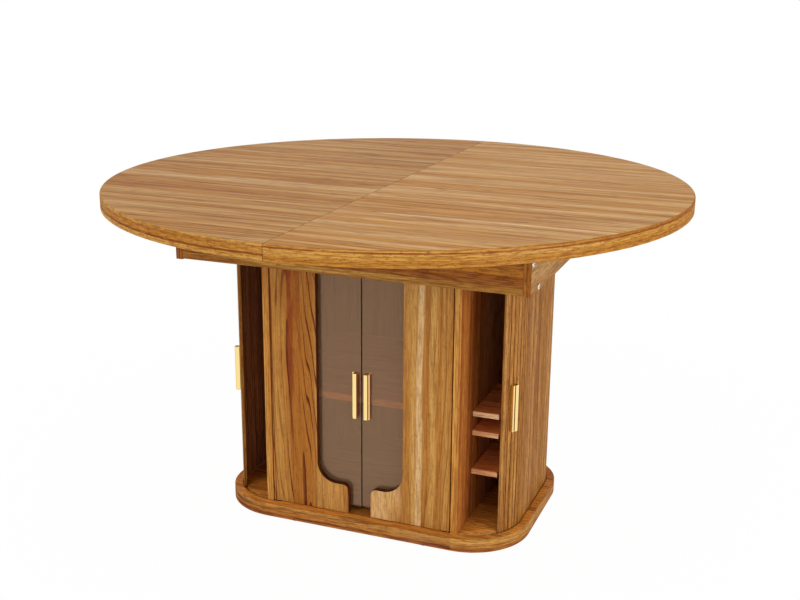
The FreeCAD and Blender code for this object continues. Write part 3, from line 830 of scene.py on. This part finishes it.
# the pull, what it rides on, the gap between its bar and its lip, and the lip's width and height
for node, body, gap, lip_width, lip_height in (
        ("door_left_handle", "left_door", 0.0, 4.0 * MM, 1.4 * MM),
        ("door_right_handle", "right_door", 0.0, 3.6 * MM, 6.0 * MM),
        ("tambour_left_handle", "left_tambour_lead", 2.2 * MM, 4.4 * MM, 9.5 * MM),
        ("tambour_right_handle", "right_tambour_lead", 2.2 * MM, 4.4 * MM, 9.5 * MM)):
    bm = merged(node)
    low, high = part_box(node)
    middle = (low + high) / 2
    outward = Vector((0.0, -1.0, 0.0))
    if body.endswith("lead"):
        arc_centre = Vector((math.copysign(arc_x, middle.x), -arc_y, middle.z))
        outward = (middle - arc_centre).normalized()
    upright = [e for e in bm.edges if e.is_convex and e.calc_length() > LONG_SHARE * (high.z - low.z)]
    furthest = max(outward.dot(e.verts[0].co) for e in upright)
    front_corners = [e for e in upright if outward.dot(e.verts[0].co) > furthest - FRONT_DEPTH]
    bmesh.ops.bevel(bm, geom=front_corners, offset=HANDLE_ROUNDING, segments=3, profile=0.5,
                    affect="EDGES", material=-1)
    ends = [e for e in bm.edges if e.is_convex and e.calc_face_angle() > END_ANGLE]
    bmesh.ops.bevel(bm, geom=ends, offset=HANDLE_EDGE, segments=1, profile=0.5, affect="EDGES",
                    material=-1, clamp_overlap=True)
    # the lip is on the side away from the middle of the table on a door, and towards it on a tambour
    beside = outward.cross(Vector((0.0, 0.0, 1.0)))
    if middle.x * beside.x * (-1.0 if body.endswith("lead") else 1.0) < 0.0:
        beside.negate()
    seat = min(outward.dot(v.co) for v in bm.verts)
    edge = max(beside.dot(v.co) for v in bm.verts)
    turn = Matrix((beside, outward, (0.0, 0.0, 1.0))).transposed().to_4x4()
    # the lip itself, and the low web that joins it to the bar
    for start, width, height in ((gap, lip_width, lip_height),
                                 (-LIP_ROOT, gap + 2 * LIP_ROOT, WEB_HEIGHT)):
        centre = (seat + height / 2) * outward + (edge + start + width / 2) * beside
        size = Matrix.Diagonal((width, height, high.z - low.z - LIP_SHORTER, 1.0))
        bmesh.ops.create_cube(bm, size=1.0, matrix=Matrix.Translation(
            centre + Vector((0.0, 0.0, middle.z))) @ turn @ size)
    bmesh.ops.recalc_face_normals(bm, faces=bm.faces)
    # painted shade on the right-hand side of a door's pull, and between bar and lip on a tambour's
    for face in bm.faces:
        if body.endswith("door"):
            shade_painted_here = face.normal.x > SQUARE_ON
        else:
            past_edge = beside.dot(face.calc_center_median()) - edge
            between = abs(past_edge - gap / 2) < gap / 2 + GROOVE_SLACK
            shade_painted_here = between and abs(face.normal.dot(beside)) > SQUARE_ON
        if shade_painted_here:
            face.material_index = PAINTED_SHADE_SLOT
    pull = finished(f"{node}_channel", bm, gold_anodised, pull_painted_shade)
    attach(pull, body)
    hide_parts(node)


# ---- tambours -----------------------------------------------------------------------
# Upright slats of 6 mm board, cut from one printed sheet and set close together, slide in the grooves
# round each end of the cabinet. Their eased edges show the brown core, and a wider slat leads.

# golden brown slats with strong dark lines up them, one figure over them all; a dull brown core where
# their edges are cut, and a matt brown canvas glued behind them
slat_print = printed_wood("tambour_slat_print", "#C18B4B", "#A36D2A", "#743C0F", "#481501", grain="z",
                          band_width=30.0, streak_width=9.0, ring_dark=0.76, line_share=0.75,
                          fibre_share=0.35, marks=((2, -313.0, 6.0, 0.6, "#C08A48", *UNFADED),
                                                   (2, -327.0, 7.0, 0.45, "#986228", *UNFADED)))
slat_core = printed_wood("brown_slat_core", "#7C481C", "#6A3A14", "#55290C", "#401A06", grain="z",
                         band_width=20.0, streak_width=6.0, roughness=0.6)
backing_canvas = printed_wood("dark_brown_canvas", "#AF7650", "#916245", "#794F37", "#603F2E", grain="z",
                              band_width=20.0, streak_width=8.0, fibre_share=0.15, pore_share=0.1,
                              gloss=0.0, roughness=0.9)
SLAT_EASE = 0.5 * MM
SLAT_LEAST_LENGTH = 100 * MM
CANVAS, CORE = 1, 2
for node in sorted(frame["nodes"]):
    if not node.startswith("tambour_") or node.endswith("_handle"):
        continue
    bm = merged(node)
    outer_edges = set()
    for face in bm.faces:
        # outwards is away from the nearest point of the oblong that the path's arcs turn about
        centre = face.calc_center_median()
        inner = Vector((max(-arc_x, min(arc_x, centre.x)), max(-arc_y, min(arc_y, centre.y)), centre.z))
        facing = face.normal.dot((centre - inner).normalized())
        if facing < -SQUARE_ON:
            face.material_index = CANVAS
        elif facing > SQUARE_ON:
            outer_edges |= {e for e in face.edges if e.calc_length() > SLAT_LEAST_LENGTH
                            and e.calc_face_angle() > CORNER_ANGLE}
    bmesh.ops.bevel(bm, geom=list(outer_edges), offset=SLAT_EASE, segments=1, profile=0.5,
                    affect="EDGES", material=CORE, clamp_overlap=True)
    slats = finished(f"{node}_slats", bm, slat_print, backing_canvas, slat_core)
    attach(slats, frame["nodes"][node]["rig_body"])
    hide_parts(node)


# ---- stage, light and camera --------------------------------------------------------
# A wide pale floor and a white surround. A large softbox stands at the front left and another at the
# right, and a low strip behind the table lays a sheen on the far part of its top.
FLOOR_SIZE = 40.0
floor_mesh = bmesh.new()
bmesh.ops.create_grid(floor_mesh, x_segments=1, y_segments=1, size=FLOOR_SIZE / 2)
# matt paint that looks plain white; near the table a small share of it is lit, and keeps the shadow
floor_paint, floor_tree, floor_shader = blank("matt_white_floor", Roughness=0.9,
                                              Base_Color=linear("#F4F4F2"))
seen = add(floor_tree, "ShaderNodeLightPath", {}, {})
seen_or_mirrored = add(floor_tree, "ShaderNodeMath", {"operation": "MAXIMUM"}, {
    0: seen.outputs["Is Camera Ray"], 1: seen.outputs["Is Glossy Ray"]}).outputs[0]
seen_or_mirrored = add(floor_tree, "ShaderNodeMath", {"operation": "MAXIMUM"}, {
    0: seen_or_mirrored, 1: seen.outputs["Is Transmission Ray"]}).outputs[0]
# how white it is next to the table, and from where to where it turns wholly white, in metres
FLOOR_WHITE_SHARE = 0.97
FLOOR_FADE_FROM, FLOOR_FADE_TO = 0.9, 2.4
floor_place = add(floor_tree, "ShaderNodeTexCoord", {}, {}).outputs["Object"]
reach = add(floor_tree, "ShaderNodeVectorMath", {"operation": "LENGTH"}, {
    0: floor_place}).outputs["Value"]
white_share = add(floor_tree, "ShaderNodeMapRange", {"interpolation_type": "SMOOTHSTEP"}, {
    0: reach, 1: FLOOR_FADE_FROM, 2: FLOOR_FADE_TO, 3: FLOOR_WHITE_SHARE, 4: 1.0}).outputs[0]
glow = add(floor_tree, "ShaderNodeEmission", {}, {
    "Color": (1.0, 1.0, 1.0, 1.0), "Strength": 1.0}).outputs[0]
share = add(floor_tree, "ShaderNodeMath", {"operation": "MULTIPLY"}, {
    0: seen_or_mirrored, 1: white_share}).outputs[0]
floor_mix = add(floor_tree, "ShaderNodeMixShader", {}, {
    0: share, 1: floor_shader.outputs[0], 2: glow}).outputs[0]
floor_tree.links.new(floor_mix, floor_tree.nodes["Material Output"].inputs["Surface"])
floor = finished("floor", floor_mesh, floor_paint)

# white to the eye and through the glass, and a little weaker as light
WORLD_STRENGTH = 0.88
world = bpy.data.worlds.new("white_surround")
bpy.context.scene.world = world
world.use_nodes = True
sky = world.node_tree.nodes["Background"]
sky.inputs["Color"].default_value = (1.0, 1.0, 1.0, 1.0)
path = add(world.node_tree, "ShaderNodeLightPath", {}, {})
direct = add(world.node_tree, "ShaderNodeMath", {"operation": "MAXIMUM"}, {
    0: path.outputs["Is Camera Ray"], 1: path.outputs["Is Transmission Ray"]}).outputs[0]
strength = add(world.node_tree, "ShaderNodeMapRange", {}, {
    0: direct, 3: WORLD_STRENGTH, 4: 1.0}).outputs[0]
world.node_tree.links.new(strength, sky.inputs["Strength"])


def soft_light(name, place, target, size, power):
    """A softbox at one point, facing another, with its width and height in metres and its watts."""
    lamp = bpy.data.lights.new(name, "AREA")
    lamp.shape = "RECTANGLE"
    lamp.size, lamp.size_y = size
    lamp.energy = power
    holder = bpy.data.objects.new(name, lamp)
    bpy.context.scene.collection.objects.link(holder)
    holder.location = place
    holder.rotation_euler = (Vector(target) - Vector(place)).to_track_quat("-Z", "Y").to_euler()
    holder.visible_camera = False


soft_light("key_softbox", place=(-1.9, -3.95, 2.45), target=(0.0, 0.0, 0.45), size=(2.4, 2.4),
           power=62.0)
soft_light("fill_softbox", place=(3.7, -1.5, 1.2), target=(0.0, 0.0, 0.4), size=(2.0, 2.0),
           power=60.0)
soft_light("rear_strip", place=(-1.8, 4.7, 1.15), target=(0.0, 0.0, 0.76), size=(5.0, 1.0),
           power=4.0)

CAMERA_PLACE = (0.9388, -2.4068, 1.2400)
CAMERA_YAW, CAMERA_PITCH, CAMERA_ROLL = (math.radians(a) for a in (21.155, 16.363, 0.436))
LENS_MM, SENSOR_MM = 52.42, 36.0
camera_data = bpy.data.cameras.new("camera")
camera_data.sensor_width = SENSOR_MM
camera_data.sensor_fit = "HORIZONTAL"
camera_data.lens = LENS_MM
camera = bpy.data.objects.new("camera", camera_data)
bpy.context.scene.collection.objects.link(camera)
camera.matrix_world = (Matrix.Translation(CAMERA_PLACE) @ Matrix.Rotation(CAMERA_YAW, 4, "Z")
                       @ Matrix.Rotation(math.pi / 2 - CAMERA_PITCH, 4, "X")
                       @ Matrix.Rotation(CAMERA_ROLL, 4, "Z"))
bpy.context.scene.camera = camera
bpy.context.scene.view_settings.view_transform = "Standard"
